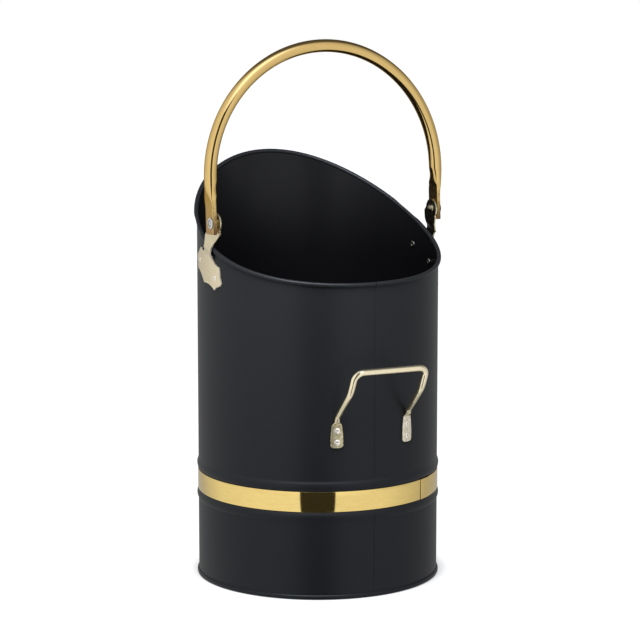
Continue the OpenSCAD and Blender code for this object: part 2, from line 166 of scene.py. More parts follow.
class Graph:
    # each input of a node is given as a plain value or as another node's output
    def __init__(self, tree):
        self.tree = tree

    def feed(self, node, inputs):
        for place, value in inputs.items():
            if isinstance(value, bpy.types.NodeSocket):
                self.tree.links.new(value, node.inputs[place])
            else:
                node.inputs[place].default_value = value

    def add(self, kind, inputs=None, **settings):
        node = self.tree.nodes.new(kind)
        for key, value in settings.items():
            setattr(node, key, value)
        self.feed(node, inputs or {})
        return node

    def math(self, operation, a, b=None, c=None, clamp=False):
        inputs = {place: value for place, value in enumerate((a, b, c)) if value is not None}
        return self.add("ShaderNodeMath", inputs, operation=operation, use_clamp=clamp).outputs[0]

    def noise(self, place, scale, detail, rough):
        inputs = {"Vector": place, "Scale": scale, "Detail": detail, "Roughness": rough}
        return self.add("ShaderNodeTexNoise", inputs).outputs["Fac"]

    def objectPlace(self):
        return self.add("ShaderNodeTexCoord").outputs["Object"]

    def split(self, vector):
        return self.add("ShaderNodeSeparateXYZ", {0: vector}).outputs

    def ramp(self, source, stops):
        node = self.add("ShaderNodeValToRGB", {0: source})
        while len(node.color_ramp.elements) < len(stops):
            node.color_ramp.elements.new(0.5)
        for element, (place, colour) in zip(node.color_ramp.elements, stops):
            element.position = place
            element.color = colourOf(colour)
        return node.outputs[0]

    def mix(self, factor, a, b):
        inputs = {0: factor, 6: colourOf(a), 7: colourOf(b)}
        return self.add("ShaderNodeMix", inputs, data_type="RGBA").outputs[2]

    def between(self, mask, low, high):
        # follows a mask: low where it is 0 and high where it is 1
        inputs = {"Value": mask, "To Min": low, "To Max": high}
        return self.add("ShaderNodeMapRange", inputs).outputs[0]

    def climb(self, value, low, high, start=0.0, end=1.0):
        # goes smoothly from one level to another while the value rises from low to high
        inputs = {"Value": value, "From Min": low, "From Max": high, "To Min": start, "To Max": end}
        return self.add("ShaderNodeMapRange", inputs, interpolation_type="SMOOTHSTEP").outputs[0]

    def bump(self, height, strength, distance):
        # the distance is in metres
        inputs = {"Height": height, "Strength": strength, "Distance": distance}
        return self.add("ShaderNodeBump", inputs).outputs[0]


def newGroup(name, inputs, outputs):
    tree = bpy.data.node_groups.new(name, "ShaderNodeTree")
    for label, value in inputs.items():
        kind = "NodeSocketVector" if isinstance(value, tuple) else "NodeSocketFloat"
        socket = tree.interface.new_socket(name=label, in_out="INPUT", socket_type=kind)
        socket.default_value = value
    for label in outputs:
        tree.interface.new_socket(name=label, in_out="OUTPUT", socket_type="NodeSocketFloat")
    graph = Graph(tree)
    return graph, graph.add("NodeGroupInput").outputs, graph.add("NodeGroupOutput")


def newMaterial(name):
    material = bpy.data.materials.new(name)
    material.use_nodes = True
    return material, Graph(material.node_tree), material.node_tree.nodes["Principled BSDF"]


def plainMaterial(name):
    # a material without the usual shader, and the node that takes a shader of its own
    material, graph, shader = newMaterial(name)
    graph.tree.nodes.remove(shader)
    return material, graph, graph.tree.nodes["Material Output"]


def mottleGroup():
    # soft uneven patches of tone, from object coordinates in metres
    graph, given, end = newGroup(
        "softMottle", {"Scale": 60.0, "Contrast": 0.5, "Stretch": (1.0, 1.0, 1.0)}, ["Mask"])
    inputs = {0: graph.objectPlace(), 1: given["Stretch"]}
    scaled = graph.add("ShaderNodeVectorMath", inputs, operation="MULTIPLY").outputs[0]
    centred = graph.math("SUBTRACT", graph.noise(scaled, given["Scale"], 4.0, 0.55), 0.5)
    tone = graph.math("MULTIPLY", centred, given["Contrast"])
    graph.feed(end, {"Mask": graph.math("ADD", tone, 0.5, clamp=True)})
    return graph.tree


def brushedGroup():
    # fine lines that run round the can: quick change with the height, slow with the angle
    graph, given, end = newGroup(
        "brushedRound", {"Fineness": 2600.0, "Length": 9.0}, ["Lines", "Broad"])
    place = graph.split(graph.objectPlace())
    around = graph.math("ARCTAN2", place["X"], place["Y"])
    along = graph.math("MULTIPLY", around, given["Length"])
    fine = graph.math("MULTIPLY", place["Z"], given["Fineness"])
    for label, share in (("Lines", 1.0), ("Broad", 0.12)):
        inputs = {"X": along, "Y": graph.math("MULTIPLY", fine, share)}
        together = graph.add("ShaderNodeCombineXYZ", inputs).outputs[0]
        graph.feed(end, {label: graph.noise(together, 1.0, 3.0, 0.6)})
    return graph.tree


def grainGroup():
    # the orange peel of a powder coat: two sizes of small bumps, and a slow tone
    graph, given, end = newGroup("coatGrain", {"Peel": 900.0, "Speck": 3500.0}, ["Height", "Tone"])
    place = graph.objectPlace()
    peel = graph.noise(place, given["Peel"], 2.0, 0.5)
    speck = graph.noise(place, given["Speck"], 2.0, 0.5)
    graph.feed(end, {"Height": graph.math("ADD", peel, graph.math("MULTIPLY", speck, 0.35)),
                     "Tone": graph.noise(place, 14.0, 3.0, 0.5)})
    return graph.tree


def heightGroup():
    # 1 below the low mark, 0 above the high one, with a ragged border; marks in metres
    graph, given, end = newGroup(
        "raggedHeight", {"Low": 0.0, "High": 0.1, "Ragged": 0.02, "Scale": 120.0}, ["Mask"])
    place = graph.objectPlace()
    centred = graph.math("SUBTRACT", graph.noise(place, given["Scale"], 4.0, 0.6), 0.5)
    away = graph.math("MULTIPLY", centred, given["Ragged"])
    height = graph.math("ADD", graph.split(place)["Z"], away)
    graph.feed(end, {"Mask": graph.climb(height, given["Low"], given["High"], 1.0, 0.0)})
    return graph.tree


softMottle = mottleGroup()
brushedRound = brushedGroup()
coatGrain = grainGroup()
raggedHeight = heightGroup()


def placeGroup(graph, tree, inputs):
    return graph.add("ShaderNodeGroup", inputs, node_tree=tree).outputs


def lowMask(graph, span, ragged, scale):
    # 1 below a span of heights in metres and 0 above it
    inputs = {"Low": span[0], "High": span[1], "Ragged": ragged, "Scale": scale}
    return placeGroup(graph, raggedHeight, inputs)["Mask"]


def mottle(graph, scale, contrast, stretch=(1.0, 1.0, 1.0)):
    inputs = {"Scale": scale, "Contrast": contrast, "Stretch": stretch}
    return placeGroup(graph, softMottle, inputs)["Mask"]


# In every look, colours are linear; "low" and "stain" lie below the heights in "lowTo" and
# "stainTo", which are in metres. "low" is painted shade, darker towards the bottom.
# painted shade: through "low" the outside coat turns darker towards the foot
blackCoatLook = {"dark": (0.0084, 0.0087, 0.0101), "light": (0.0104, 0.0107, 0.0123),
                 "low": (0.007, 0.0073, 0.0086), "lowTo": (0.0, 0.32),
                 "roughLow": 0.35, "roughHigh": 0.43, "specular": 0.195,
                 "edge": (0.84, 0.92, 1.0)}
# painted shade: the inside of the can and the base pan take a darker copy of the coat than the
# outside, and "low" makes it darker still deep down
shadedInnerLook = {"dark": (0.0058, 0.006, 0.0066), "light": (0.0072, 0.0074, 0.0082),
                 "low": (0.0024, 0.0024, 0.0028), "lowTo": (0.3, 0.4),
                 "roughLow": 0.26, "roughHigh": 0.32, "specular": 0.135,
                 "edge": (1.0, 1.0, 1.0)}


def coatMaterial(name, look):
    material, graph, shader = newMaterial(name)
    grain = placeGroup(graph, coatGrain, {"Peel": 900.0, "Speck": 3500.0})
    # painted shade: the coat is darker below the heights in lowTo
    low = lowMask(graph, look["lowTo"], ragged=0.01, scale=30.0)
    coat = graph.mix(grain["Tone"], look["dark"], look["light"])
    graph.feed(shader, {
        "Base Color": graph.mix(low, coat, look["low"]),
        "Roughness": graph.between(grain["Tone"], look["roughLow"], look["roughHigh"]),
        "Normal": graph.bump(grain["Height"], strength=0.5, distance=0.00002),
        "Specular IOR Level": look["specular"],
        "Specular Tint": (*look["edge"], 1)})
    return material


bandLook = {"bright": (0.93, 0.71, 0.275), "deep": (0.82, 0.6, 0.2),
            "roughLow": 0.035, "roughHigh": 0.09}


def bandMaterial(name, look):
    material, graph, shader = newMaterial(name)
    lines = placeGroup(graph, brushedRound, {"Fineness": 2600.0, "Length": 9.0})
    steep = [(0.3, 0.0), (0.7, 1.0)]
    fine = graph.ramp(lines["Lines"], steep)
    both = graph.mix(0.45, fine, graph.ramp(lines["Broad"], steep))
    graph.feed(shader, {
        "Base Color": graph.mix(both, look["deep"], look["bright"]),
        "Roughness": graph.between(both, look["roughHigh"], look["roughLow"]),
        "Normal": graph.bump(fine, strength=0.25, distance=0.00001),
        "Metallic": 1.0})
    return material


tubeLook = {"bright": (0.8, 0.565, 0.225), "deep": (0.7, 0.485, 0.175),
            "stain": (0.63, 0.43, 0.24), "stainTo": (0.352, 0.392),
            "roughLow": 0.045, "roughHigh": 0.11, "roughStain": 0.24,
            "metal": 0.965, "metalStain": 0.9, "edge": (0.45, 0.33, 0.18)}
tubeEdgeLook = dict(tubeLook, stain=(0.14, 0.085, 0.035), stainTo=(0.352, 0.39))


def tubeMaterial(name, look):
    material, graph, shader = newMaterial(name)
    scratches = mottle(graph, scale=900.0, contrast=1.6, stretch=(1.0, 1.0, 0.12))
    both = graph.mix(0.35, mottle(graph, scale=45.0, contrast=1.2), scratches)
    stain = lowMask(graph, look["stainTo"], ragged=0.05, scale=160.0)
    clean = graph.mix(both, look["deep"], look["bright"])
    rough = graph.between(both, look["roughHigh"], look["roughLow"])
    graph.feed(shader, {
        "Base Color": graph.mix(stain, clean, look["stain"]),
        "Roughness": graph.mix(stain, rough, look["roughStain"]),
        "Normal": graph.bump(scratches, strength=0.2, distance=0.00001),
        "Metallic": graph.mix(stain, look["metal"], look["metalStain"]),
        "Specular Tint": (*look["edge"], 1)})
    return material


def paleMaterial(name, look):
    material, graph, shader = newMaterial(name)
    patches = mottle(graph, look.get("patches", 170.0), look.get("contrast", 2.4))
    both = graph.mix(0.4, patches, mottle(graph, scale=900.0, contrast=2.0))
    colour = graph.mix(both, look["deep"], look["bright"])
    # painted shade: the handle's legs are darker below the heights in lowTo
    if "low" in look:
        low = lowMask(graph, look["lowTo"], ragged=0.006, scale=90.0)
        colour = graph.mix(low, colour, look["low"])
    graph.feed(shader, {
        "Base Color": colour,
        "Roughness": graph.between(both, look["roughHigh"], look["roughLow"]),
        "Normal": graph.bump(both, strength=0.35, distance=0.00003),
        "Metallic": look.get("metal", 1.0)})
    return material


paleLook = {"bright": (0.94, 0.83, 0.6), "deep": (0.8, 0.69, 0.46),
            "roughLow": 0.3, "roughHigh": 0.45}
# painted highlight: a lighter copy of the pale brass for the ears' lower edges
edgeHighlightLook = {"bright": (1.0, 0.95, 0.82), "deep": (0.93, 0.86, 0.7),
            "roughLow": 0.3, "roughHigh": 0.4, "metal": 0.45}
# painted shade: "low" darkens the legs below the bar
rodLook = {"bright": (1.0, 0.89, 0.64), "deep": (0.93, 0.82, 0.56),
           "low": (0.66, 0.58, 0.39), "lowTo": (0.19, 0.218),
           "roughLow": 0.1, "roughHigh": 0.18, "metal": 0.9}
padLook = {"bright": (0.92, 0.85, 0.6), "deep": (0.34, 0.29, 0.13), "patches": 380.0,
           "contrast": 3.6, "roughLow": 0.3, "roughHigh": 0.45, "metal": 0.8}
lightPadLook = dict(padLook, bright=(1.0, 0.93, 0.78), deep=(0.66, 0.58, 0.4))
# painted shade: the washers sit in the narrow gap between bail and ear, so they are painted dark
# brown
washerShadeLook = {"bright": (0.34, 0.25, 0.09), "deep": (0.12, 0.085, 0.03),
              "roughLow": 0.3, "roughHigh": 0.4}
# painted shade: a dark copy of the pale brass for the ears' upper edges and the rims of their heads
headEdgeShadeLook = {"bright": (0.36, 0.34, 0.22), "deep": (0.22, 0.2, 0.12),
                "roughLow": 0.35, "roughHigh": 0.45}
tailLook = {"bright": (0.5, 0.48, 0.42), "deep": (0.28, 0.26, 0.22),
            "roughLow": 0.3, "roughHigh": 0.4}
# painted shade: near black for the hollows under the pins' heads and in the rivets' pits
pitShadeLook = {"bright": (0.1, 0.09, 0.07), "deep": (0.03, 0.027, 0.02),
           "roughLow": 0.3, "roughHigh": 0.5}
steelLook = {"bright": (0.88, 0.87, 0.84), "deep": (0.62, 0.61, 0.58),
             "roughLow": 0.07, "roughHigh": 0.18}
nickelLook = {"bright": (0.98, 0.92, 0.82), "deep": (0.84, 0.78, 0.66),
              "roughLow": 0.28, "roughHigh": 0.42}
# painted shade: a dark copy of the pale brass for the ears' faces towards the can and the pivot
# pins' tails
shadedBackLook = {"bright": (0.42, 0.37, 0.26), "deep": (0.24, 0.21, 0.14),
            "roughLow": 0.2, "roughHigh": 0.34}

blackCoat = coatMaterial("blackCoat", blackCoatLook)
shadedInnerCoat = coatMaterial("shadedInnerCoat", shadedInnerLook)
brushedBrass = bandMaterial("brushedBrass", bandLook)
polishedTube = tubeMaterial("polishedTube", tubeLook)
dullTubeEdge = tubeMaterial("dullTubeEdge", tubeEdgeLook)
paleBrass = paleMaterial("paleBrass", paleLook)
paleRod = paleMaterial("paleRod", rodLook)
zincSteel = paleMaterial("zincSteel", steelLook)
rivetNickel = paleMaterial("rivetNickel", nickelLook)
shadedBack = paleMaterial("shadedBack", shadedBackLook)
edgeHighlight = paleMaterial("edgeHighlight", edgeHighlightLook)
shadedWasher = paleMaterial("shadedWasher", washerShadeLook)
headEdgeShade = paleMaterial("headEdgeShade", headEdgeShadeLook)
padBrass = paleMaterial("padBrass", padLook)
lightPad = paleMaterial("lightPad", lightPadLook)
pitShade = paleMaterial("pitShade", pitShadeLook)
rivetTail = paleMaterial("rivetTail", tailLook)
print("scuttle: materials made")

# The can. Its wall ends inside the rim roll, at the roll's radius, distance and gap in "rollAt".
can = {"radius": 120.0, "sheet": 0.8, "foot": 0.9, "lowRim": 309.0, "highRim": 413.5,
       "rimDip": 20.2, "rollAt": (2.2, 1.4, 0.075),
       "ribHigh": 1.4, "ribWide": 9.0, "ribs": (82.1, 112.7), "ribFillet": 0.25, "ribFade": 1.6,
       "grooveWide": 0.7, "grooveDeep": 0.32,
       "foldWide": 6.0, "foldThick": 1.4, "foldLow": 9.1, "foldHigh": 303.8, "foldBed": 0.2,
       "foldBevel": 0.4, "foldNarrow": 0.3}


def rimHeight(turn):
    t = np.radians(turn)
    middle = (can["lowRim"] + can["highRim"]) / 2
    half = (can["highRim"] - can["lowRim"]) / 2
    return middle - half * np.cos(t) - can["rimDip"] * np.sin(t) ** 2


def rimSlope(turn):
    t = np.radians(turn)
    half = (can["highRim"] - can["lowRim"]) / 2
    rise = np.sin(t) * (half - 2 * can["rimDip"] * np.cos(t)) / can["radius"]
    return np.arctan(rise)


def ribBulge(z):
    total = np.zeros_like(z)
    half, high = can["ribWide"] / 2, can["ribHigh"]
    ballR = (half ** 2 + high ** 2) / (2 * high)
    for middle in can["ribs"]:
        t = np.clip(np.abs(z - middle), 0, ballR * 0.98)
        height = np.sqrt(ballR ** 2 - t ** 2) - (ballR - high)
        rounded = 0.5 * (height + np.sqrt(height ** 2 + can["ribFillet"] ** 2))
        fade = 1 - smoothStep((t - half) / can["ribFade"])
        total += rounded * fade * high / (high + can["ribFillet"] ** 2 / (4 * high))
    return total


def wallSheet():
    groove = np.array([0, 0.2, 0.35, 0.5, 0.7, 1.0, 1.6, 2.6, 4.0])
    sideTurns = np.degrees(groove / can["radius"])
    turns = np.concatenate([sideTurns, np.arange(2.6, 357.5, 0.8), 360 - sideTurns[:0:-1]])
    ribRows = np.concatenate([m + np.linspace(-6.0, 6.0, 25) for m in can["ribs"]])
    low = np.sort(np.concatenate([[can["foot"], 4, 9, 20, 34, 48, 62, 72, 91, 97.4, 103.5, 122,
                                   130], ribRows]))
    share = np.concatenate([np.linspace(0, 0.97, 22), [1.0]])[1:]
    rollR, rollAway, rollGap = can["rollAt"]
    rings = []
    for turn in turns:
        drop = (math.sqrt(rollR ** 2 - rollAway ** 2) + rollGap) / math.cos(float(rimSlope(turn)))
        top = float(rimHeight(turn)) - drop
        z = np.concatenate([low, low[-1] + (top - low[-1]) * share])
        away = abs((turn + 180) % 360 - 180) * math.pi / 180 * can["radius"]
        dent = 1 - smoothStep(away / can["grooveWide"])
        outer = can["radius"] + ribBulge(z) - can["grooveDeep"] * dent
        inner = can["radius"] + ribBulge(z) - can["sheet"]
        rings.append(np.vstack([atTurn(turn, outer, z), atTurn(turn, inner, z)[::-1]]))
    return loft(rings, closed=True)


def seamFold():
    # the folded sheet behind the seam, bedded a little into the wall
    half, bevel, narrow = can["foldWide"] / 2, can["foldBevel"], can["foldNarrow"]
    outR = can["radius"] - can["sheet"] + can["foldBed"]
    inR = can["radius"] - can["sheet"] - can["foldThick"]
    section = [(-half, outR), (half, outR), (half, inR + bevel), (half - bevel, inR),
               (narrow - half, inR), (-half, inR + narrow)]
    rows = [(can["foldLow"], bevel), (can["foldLow"] + bevel, 0.0)]
    rows += [(z, 0.0) for z in np.linspace(12, can["foldHigh"] - bevel, 30)]
    rows += [(can["foldHigh"], bevel)]
    rings = []
    for z, pull in rows:
        ring = []
        for x, r in section:
            reach = r + (pull if r < outR else 0)
            depth = math.sqrt(reach ** 2 - x ** 2)
            ring.append((x * (1 - pull * 0.1), -depth, z))
        rings.append(ring)
    return loft(rings)


def canWall():
    points, faces = joined([wallSheet(), seamFold()])
    return makeObject("canWall", points, faces, crease=45)


def paint(thing, material, picks):
    # some faces of a piece take another material
    thing.data.materials.append(material)
    for i in picks:
        thing.data.polygons[i].material_index = len(thing.data.materials) - 1


def cover(thing, material, chosen):
    paint(thing, material, [face.index for face in thing.data.polygons
                            if chosen(face.center / mm, face.normal)])


def looksIn(least):
    # picks the faces that look at the can's axis
    def chosen(at, normal):
        return normal.x * at.x + normal.y * at.y < -least * math.hypot(at.x, at.y)
    return chosen


# painted shade: the faces inside the wall take the darker inner copy of the coat
cover(dress(canWall(), "scuttle", "body_shell", blackCoat), shadedInnerCoat, looksIn(0.02))

roll = {"radius": 2.18, "pathR": 120.6, "sheet": 0.7, "split": 0.6, "clear": 0.15,
        "flat": 0.86, "flatStart": (12.0, 22.0), "flatEnd": (37.0, 47.0)}


def rollFlat(y):
    # the bail's arms pass the roll here as they swing, so its outer side is a little slimmer
    (low, full), (last, gone) = roll["flatStart"], roll["flatEnd"]
    return roll["flat"] * (1 - fading(y, low, full)) * fading(y, last, gone)


def rimRoll():
    wallOut = roll["pathR"] - can["radius"]
    start = 180 + math.degrees(math.acos((wallOut + can["sheet"] + roll["clear"]) / roll["radius"]))
    end = -180 + math.degrees(math.acos((wallOut - roll["clear"]) / roll["radius"]))
    outer = arc(0, 0, roll["radius"], start, end, 30)
    inner = arc(0, 0, roll["radius"] - roll["sheet"], end, start, 18)
    section = np.vstack([outer, inner])
    outerShare = (1 + section[:, :1] / np.linalg.norm(section, axis=1)[:, None]) / 2
    outerShare[len(outer):] *= 0.5
    halfSplit = math.degrees(roll["split"] / 2 / roll["pathR"])
    turns = np.concatenate([[halfSplit], np.arange(0.6, 359.7, 0.6), [360 - halfSplit]])
    rings = []
    for turn in turns:
        t = math.radians(turn)
        slope = float(rimSlope(turn))
        out = np.array([math.sin(t), -math.cos(t), 0])
        up = np.array([-math.sin(slope) * math.cos(t), -math.sin(slope) * math.sin(t),
                       math.cos(slope)])
        middle = np.array([roll["pathR"] * math.sin(t), -roll["pathR"] * math.cos(t),
                           float(rimHeight(turn))])
        slim = 1 - rollFlat(middle[1]) / roll["radius"] * outerShare
        rings.append(middle + section[:, :1] * slim * out + section[:, 1:] * slim * up)
    points, faces = loft(rings)
    return makeObject("rimRoll", points, faces, crease=50)


dress(rimRoll(), "scuttle", "rim_roll", blackCoat)

foot = {"high": 4.6, "out": 1.6, "sheet": 0.8, "legR": 117.5, "bevel": 0.3, "panR": 119.15,
        "panFlatR": 60.0, "panTop": 9.0, "panSheet": 0.8, "panBend": 2.0, "gap": 0.05}


def basePan():
    r, top, bend, sheet = foot["panR"], foot["panTop"], foot["panBend"], foot["panSheet"]
    outline = np.vstack([
        [[0.0, top - sheet], [foot["panFlatR"], top - sheet]],
        arc(r - bend, top - bend, bend - sheet, 90, 0, 8),
        [[r - sheet, foot["sheet"] + foot["gap"]], [r, foot["sheet"] + foot["gap"]]],
        arc(r - bend, top - bend, bend, 0, 90, 10),
        [[foot["panFlatR"], top], [0.0, top]]])
    points, faces = turned(outline, 240)
    return makeObject("basePan", points, faces, crease=40)


# painted shade: the base pan, seen only from inside, takes the darker inner copy of the coat
dress(basePan(), "scuttle", "base_pan", shadedInnerCoat)


def footRing():
    bulge = foot["high"] / 2
    squash = (foot["out"] - foot["gap"]) / bulge
    wallR = can["radius"] + foot["gap"]
    outer = arc(0, bulge, bulge, -90, 90, 20)
    outer[:, 0] = wallR + outer[:, 0] * squash
    low, sheet, bevel = foot["legR"], foot["sheet"], foot["bevel"]
    outline = np.vstack([
        [[low + bevel, 0.0]], outer,
        [[wallR, sheet], [low + sheet, sheet], [low + sheet, foot["high"] - sheet / 2]],
        [[low, foot["high"] - sheet / 2], [low, bevel]]])
    points, faces = turned(outline, 360)
    return makeObject("footRing", points, faces, crease=45)


dress(footRing(), "scuttle", "foot_seam", blackCoat)
print("scuttle: can made")

band = {"middle": 97.4, "wide": 20.0, "wallGap": 0.05, "sheet": 0.5, "edge": 0.18,
        "lapTurn": 30.0, "lapLength": 12.0, "rampLength": 11.0, "lapLift": 0.52, "endBevel": 0.08}


def brassBand():
    half, sheet, edge = band["wide"] / 2, band["sheet"], band["edge"]
    section = np.vstack([arc(sheet - edge, half - edge, edge, 0, 90, 3),
                         arc(edge, half - edge, edge, 90, 180, 3),
                         arc(edge, edge - half, edge, 180, 270, 3),
                         arc(sheet - edge, edge - half, edge, 270, 360, 3)])
    perMm = 180 / math.pi / can["radius"]
    lapEnd = band["lapTurn"] + band["lapLength"] * perMm
    start, end = band["lapTurn"], lapEnd + 360
    bevel = band["endBevel"]
    turns = np.concatenate([[start, start + bevel], np.arange(start + 0.6, lapEnd + 8, 0.4),
                            np.arange(lapEnd + 8, end - 0.5, 0.8), [end]])
    rings = []
    for turn in turns:
        ramp = float(smoothStep((turn - lapEnd - 0.3) / (band["rampLength"] * perMm)))
        shrink = bevel if turn == start else 0.0
        base = can["radius"] + band["wallGap"] + band["lapLift"] * (1 - ramp)
        r = base + np.clip(section[:, 0], shrink, sheet - shrink)
        rings.append(atTurn(turn, r, band["middle"] + section[:, 1] * (1 - shrink / half)))
    points, faces = loft(rings)
    return makeObject("brassBand", points, faces, crease=50)


lampSpares.append(dress(brassBand(), "scuttle", "brass_band", brushedBrass))
print("scuttle: band made")

pivot = {"y": -19.1567, "z": 363.343}
bail = {"tubeR": 6.3, "pathR": 124.69, "rise": 42.29, "lean": 3.09, "back": 1.2,
        "flatIn": 122.45, "flatOut": 126.35, "flatDeep": 2.6, "flatHalf": 8.6, "flatBack": 1.8,
        "corner": 10.0, "below": 11.0, "lipTop": 42.3, "lipLow": 23.5, "lipPower": 3.4,
        "press": (15.0, 42.3), "fall": (14.0, 38.5), "spread": (18.0, 37.0),
        "lipRound": 0.45, "lipSoften": 12,
        "mouth": (0.2, 0.86), "mouthTop": 2.5, "mouthLow": 0.1, "roundStep": 0.35,
        "endRound": ((0.84, 0.965), (0.94, 0.985), (1.0, 1.0)),
        "dullBelow": 386.0, "dullFacing": 0.75}


def armRing(z, count):
    # a round tube, pressed flat towards its end; a scooped plane cuts its inner side
    press, fall, spread = (fading(z, *bail[word]) for word in ("press", "fall", "spread"))
    deep = bail["tubeR"] + (bail["flatDeep"] - bail["tubeR"]) * press
    half = bail["tubeR"] + (bail["flatHalf"] - bail["tubeR"]) * spread
    out = bail["pathR"] + bail["tubeR"]
    out += (bail["flatOut"] - out) * fall
    power = 2 + bail["corner"] * press ** 3
    share = (bail["lipTop"] - z) / (bail["lipTop"] - bail["lipLow"])
    share = min(max(share, 0.0), 1.0) ** bail["lipPower"]
    cut = bail["pathR"] - bail["tubeR"]
    cut += (bail["flatIn"] - cut) * share
    turns = np.linspace(-math.pi, math.pi, count + 1)[:-1]
    cos, sin = np.cos(turns), np.sin(turns)
    x = out - deep + deep * np.sign(cos) * np.abs(cos) ** (2 / power)
    y = half * np.sign(sin) * np.abs(sin) ** (2 / power)
    soft = bail["lipRound"] * min(share * bail["lipSoften"], 1.0)
    x = cut + (x - cut + np.sqrt((x - cut) ** 2 + soft ** 2)) / 2 if soft else np.maximum(x, cut)
    return np.column_stack([x, y + bail["flatBack"] * spread])


def bailTube():
    count = 64
    rings = []
    bottom = -bail["below"]

    def addRing(flat, z):
        rings.append(np.column_stack([flat[:, 0], flat[:, 1], np.full(len(flat), z)]))

    whole = armRing(0, count)
    middle = np.array([(bail["flatIn"] + bail["flatOut"]) / 2, bail["flatBack"]])
    # the pressed end is open by a slot, and its edge is rounded
    addRing((whole - middle) * bail["mouth"] + middle, bottom + bail["mouthTop"])
    addRing((whole - middle) * bail["mouth"] + middle, bottom + bail["mouthLow"])
    for step, narrow in enumerate(bail["endRound"]):
        addRing((whole - middle) * narrow + middle, bottom + step * bail["roundStep"])
    for z in np.concatenate([np.linspace(bottom + 3, 17, 8), np.linspace(18, bail["lipTop"], 50)]):
        addRing(armRing(z, count), z)
    r, across = armRing(bail["rise"], count).T
    for turn in np.radians(np.linspace(0, 90, 61)[1:]):
        rings.append(np.column_stack([r * math.cos(turn), across,
                                      bail["rise"] + r * math.sin(turn)]))
    # the ring on the middle plane is shared by the two halves
    rings += [mirroredX(r) for r in rings[-2::-1]]
    points, faces = loft(rings)
    lean = math.radians(bail["lean"])
    y = pivot["y"] + bail["back"] + points[:, 1] * math.cos(lean) + points[:, 2] * math.sin(lean)
    z = pivot["z"] - points[:, 1] * math.sin(lean) + points[:, 2] * math.cos(lean)
    return makeObject("bailTube", np.column_stack([points[:, 0], y, z]), faces, crease=38)


swinging = dress(bailTube(), "bail", "bail", polishedTube)
lampSpares.append(swinging)
cover(swinging, dullTubeEdge,
      lambda at, normal: at.z < bail["dullBelow"] and abs(normal.y) > bail["dullFacing"])
print("scuttle: bail made")

# The ears' pattern is flat: u runs towards the back, v up to the head. "path" is the neck's
# distance from the middle plane by v; "bend" and "lean" are where they start, and over how much.
ear = {"sheet": 1.4, "tilt": 22.37, "leafY": {-1: 2.4, 1: 0.9}, "leafZ": 315.6, "headV": 51.2,
       "headR": 10.1, "headJoin": -3.0, "innerR": 120.05, "edge": 0.6,
       "highlightBelow": {-1: 40.0, 1: -20.0}, "bend": (12.5, 4.5), "lean": (26.0, 12.0),
       "leanIn": 1.1,
       "path": ((120.05, 9.0), (120.05, 16.7), (122.95, 20.2), (122.95, 27.8), (119.6, 35.8),
                (119.6, 66.0)),
       "leaf": ((0, -14.9), (6.0, -12.1), (12.0, -10.6), (18.0, -10.4), (22.0, -11.2),
                (24.2, -7.4), (26.9, -5.3), (29.3, -3.2), (29.8, -1.2), (29.3, 0.8), (25.4, 5.6),
                (22.8, 10.2), (21.8, 12.4), (20.6, 13.4)),
       "neckWide": ((12.0, 14.0), (9.8, 17.5), (8.0, 21.5), (7.8, 24.5), (8.4, 27.4), (10.6, 29.7),
                    (13.0, 31.7), (14.0, 34.2), (13.2, 37.5), (11.4, 41)),
       "neckSlim": ((10.8, 14.4), (7.6, 18.5), (6.9, 24), (6.8, 30.5), (7.4, 36), (9.8, 40.5),
                    (11.4, 44))}


def curveThrough(points, perSpan):
    # a smooth curve through every point
    p = np.array(points, float)
    p = np.vstack([2 * p[0] - p[1], p, 2 * p[-1] - p[-2]])
    result = []
    for i in range(1, len(p) - 2):
        for s in range(perSpan):
            t = s / perSpan
            result.append(0.5 * (2 * p[i] + (p[i + 1] - p[i - 1]) * t
                                 + (2 * p[i - 1] - 5 * p[i] + 4 * p[i + 1] - p[i + 2]) * t ** 2
                                 + (3 * p[i] - p[i - 1] - 3 * p[i + 1] + p[i + 2]) * t ** 3))
    result.append(p[-2])
    return np.array(result)


def bowed(a, b, sag, steps):
    # from a to b along a shallow arc; a positive sag bows to the left of the way
    a, b = np.array(a, float), np.array(b, float)
    side = np.array([-(b - a)[1], (b - a)[0]]) / np.linalg.norm(b - a)
    t = np.linspace(0, 1, steps + 1)[:-1, None]
    return a + (b - a) * t + side * sag * 4 * t * (1 - t)


def earHalf(neck):
    # one side of the ear, from the bottom tip up to the top of its round head
    leaf = ear["leaf"]
    half = [bowed(leaf[i], leaf[i + 1], 0.05, 3) for i in range(len(leaf) - 1)]
    half.append(bowed(leaf[-1], neck[0], 0.9, 6))
    half.append(curveThrough(neck, 5))
    join = math.degrees(math.asin(ear["headJoin"] / ear["headR"]))
    head = arc(0, ear["headV"], ear["headR"], join, 90, 20)
    half.append(bowed(neck[-1], head[0], -0.3, 6)[1:])
    half.append(head)
    return np.vstack(half)


def earOutline(side):
    # one pattern for both: the right ear is turned round, so its neck sides change places
    back, front = ("neckWide", "neckSlim") if side < 0 else ("neckSlim", "neckWide")
    return np.vstack([earHalf(ear[back]), (earHalf(ear[front]) * [-1, 1])[-2:0:-1]])


def earPlace(side, u, v, w):
    tilt = math.radians(ear["tilt"])
    y = ear["leafY"][side] + u * math.cos(tilt) - v * math.sin(tilt)
    z = ear["leafZ"] + u * math.sin(tilt) + v * math.cos(tilt)
    path = np.array(ear["path"])
    onCan = np.sqrt((ear["innerR"] + w) ** 2 - y ** 2)
    bendAt, bendOver = ear["bend"]
    leanAt, leanOver = ear["lean"]
    share = smoothStep((v - bendAt) / bendOver)
    soft = 0.0
    for offset in (-1.5, -0.75, 0, 0.75, 1.5):
        soft += np.interp(v + offset, path[:, 1], path[:, 0]) / 5
    onNeck = soft + w - ear["leanIn"] * smoothStep((v - leanAt) / leanOver)
    x = onCan * (1 - share) + onNeck * share
    return np.column_stack([x, y, z])


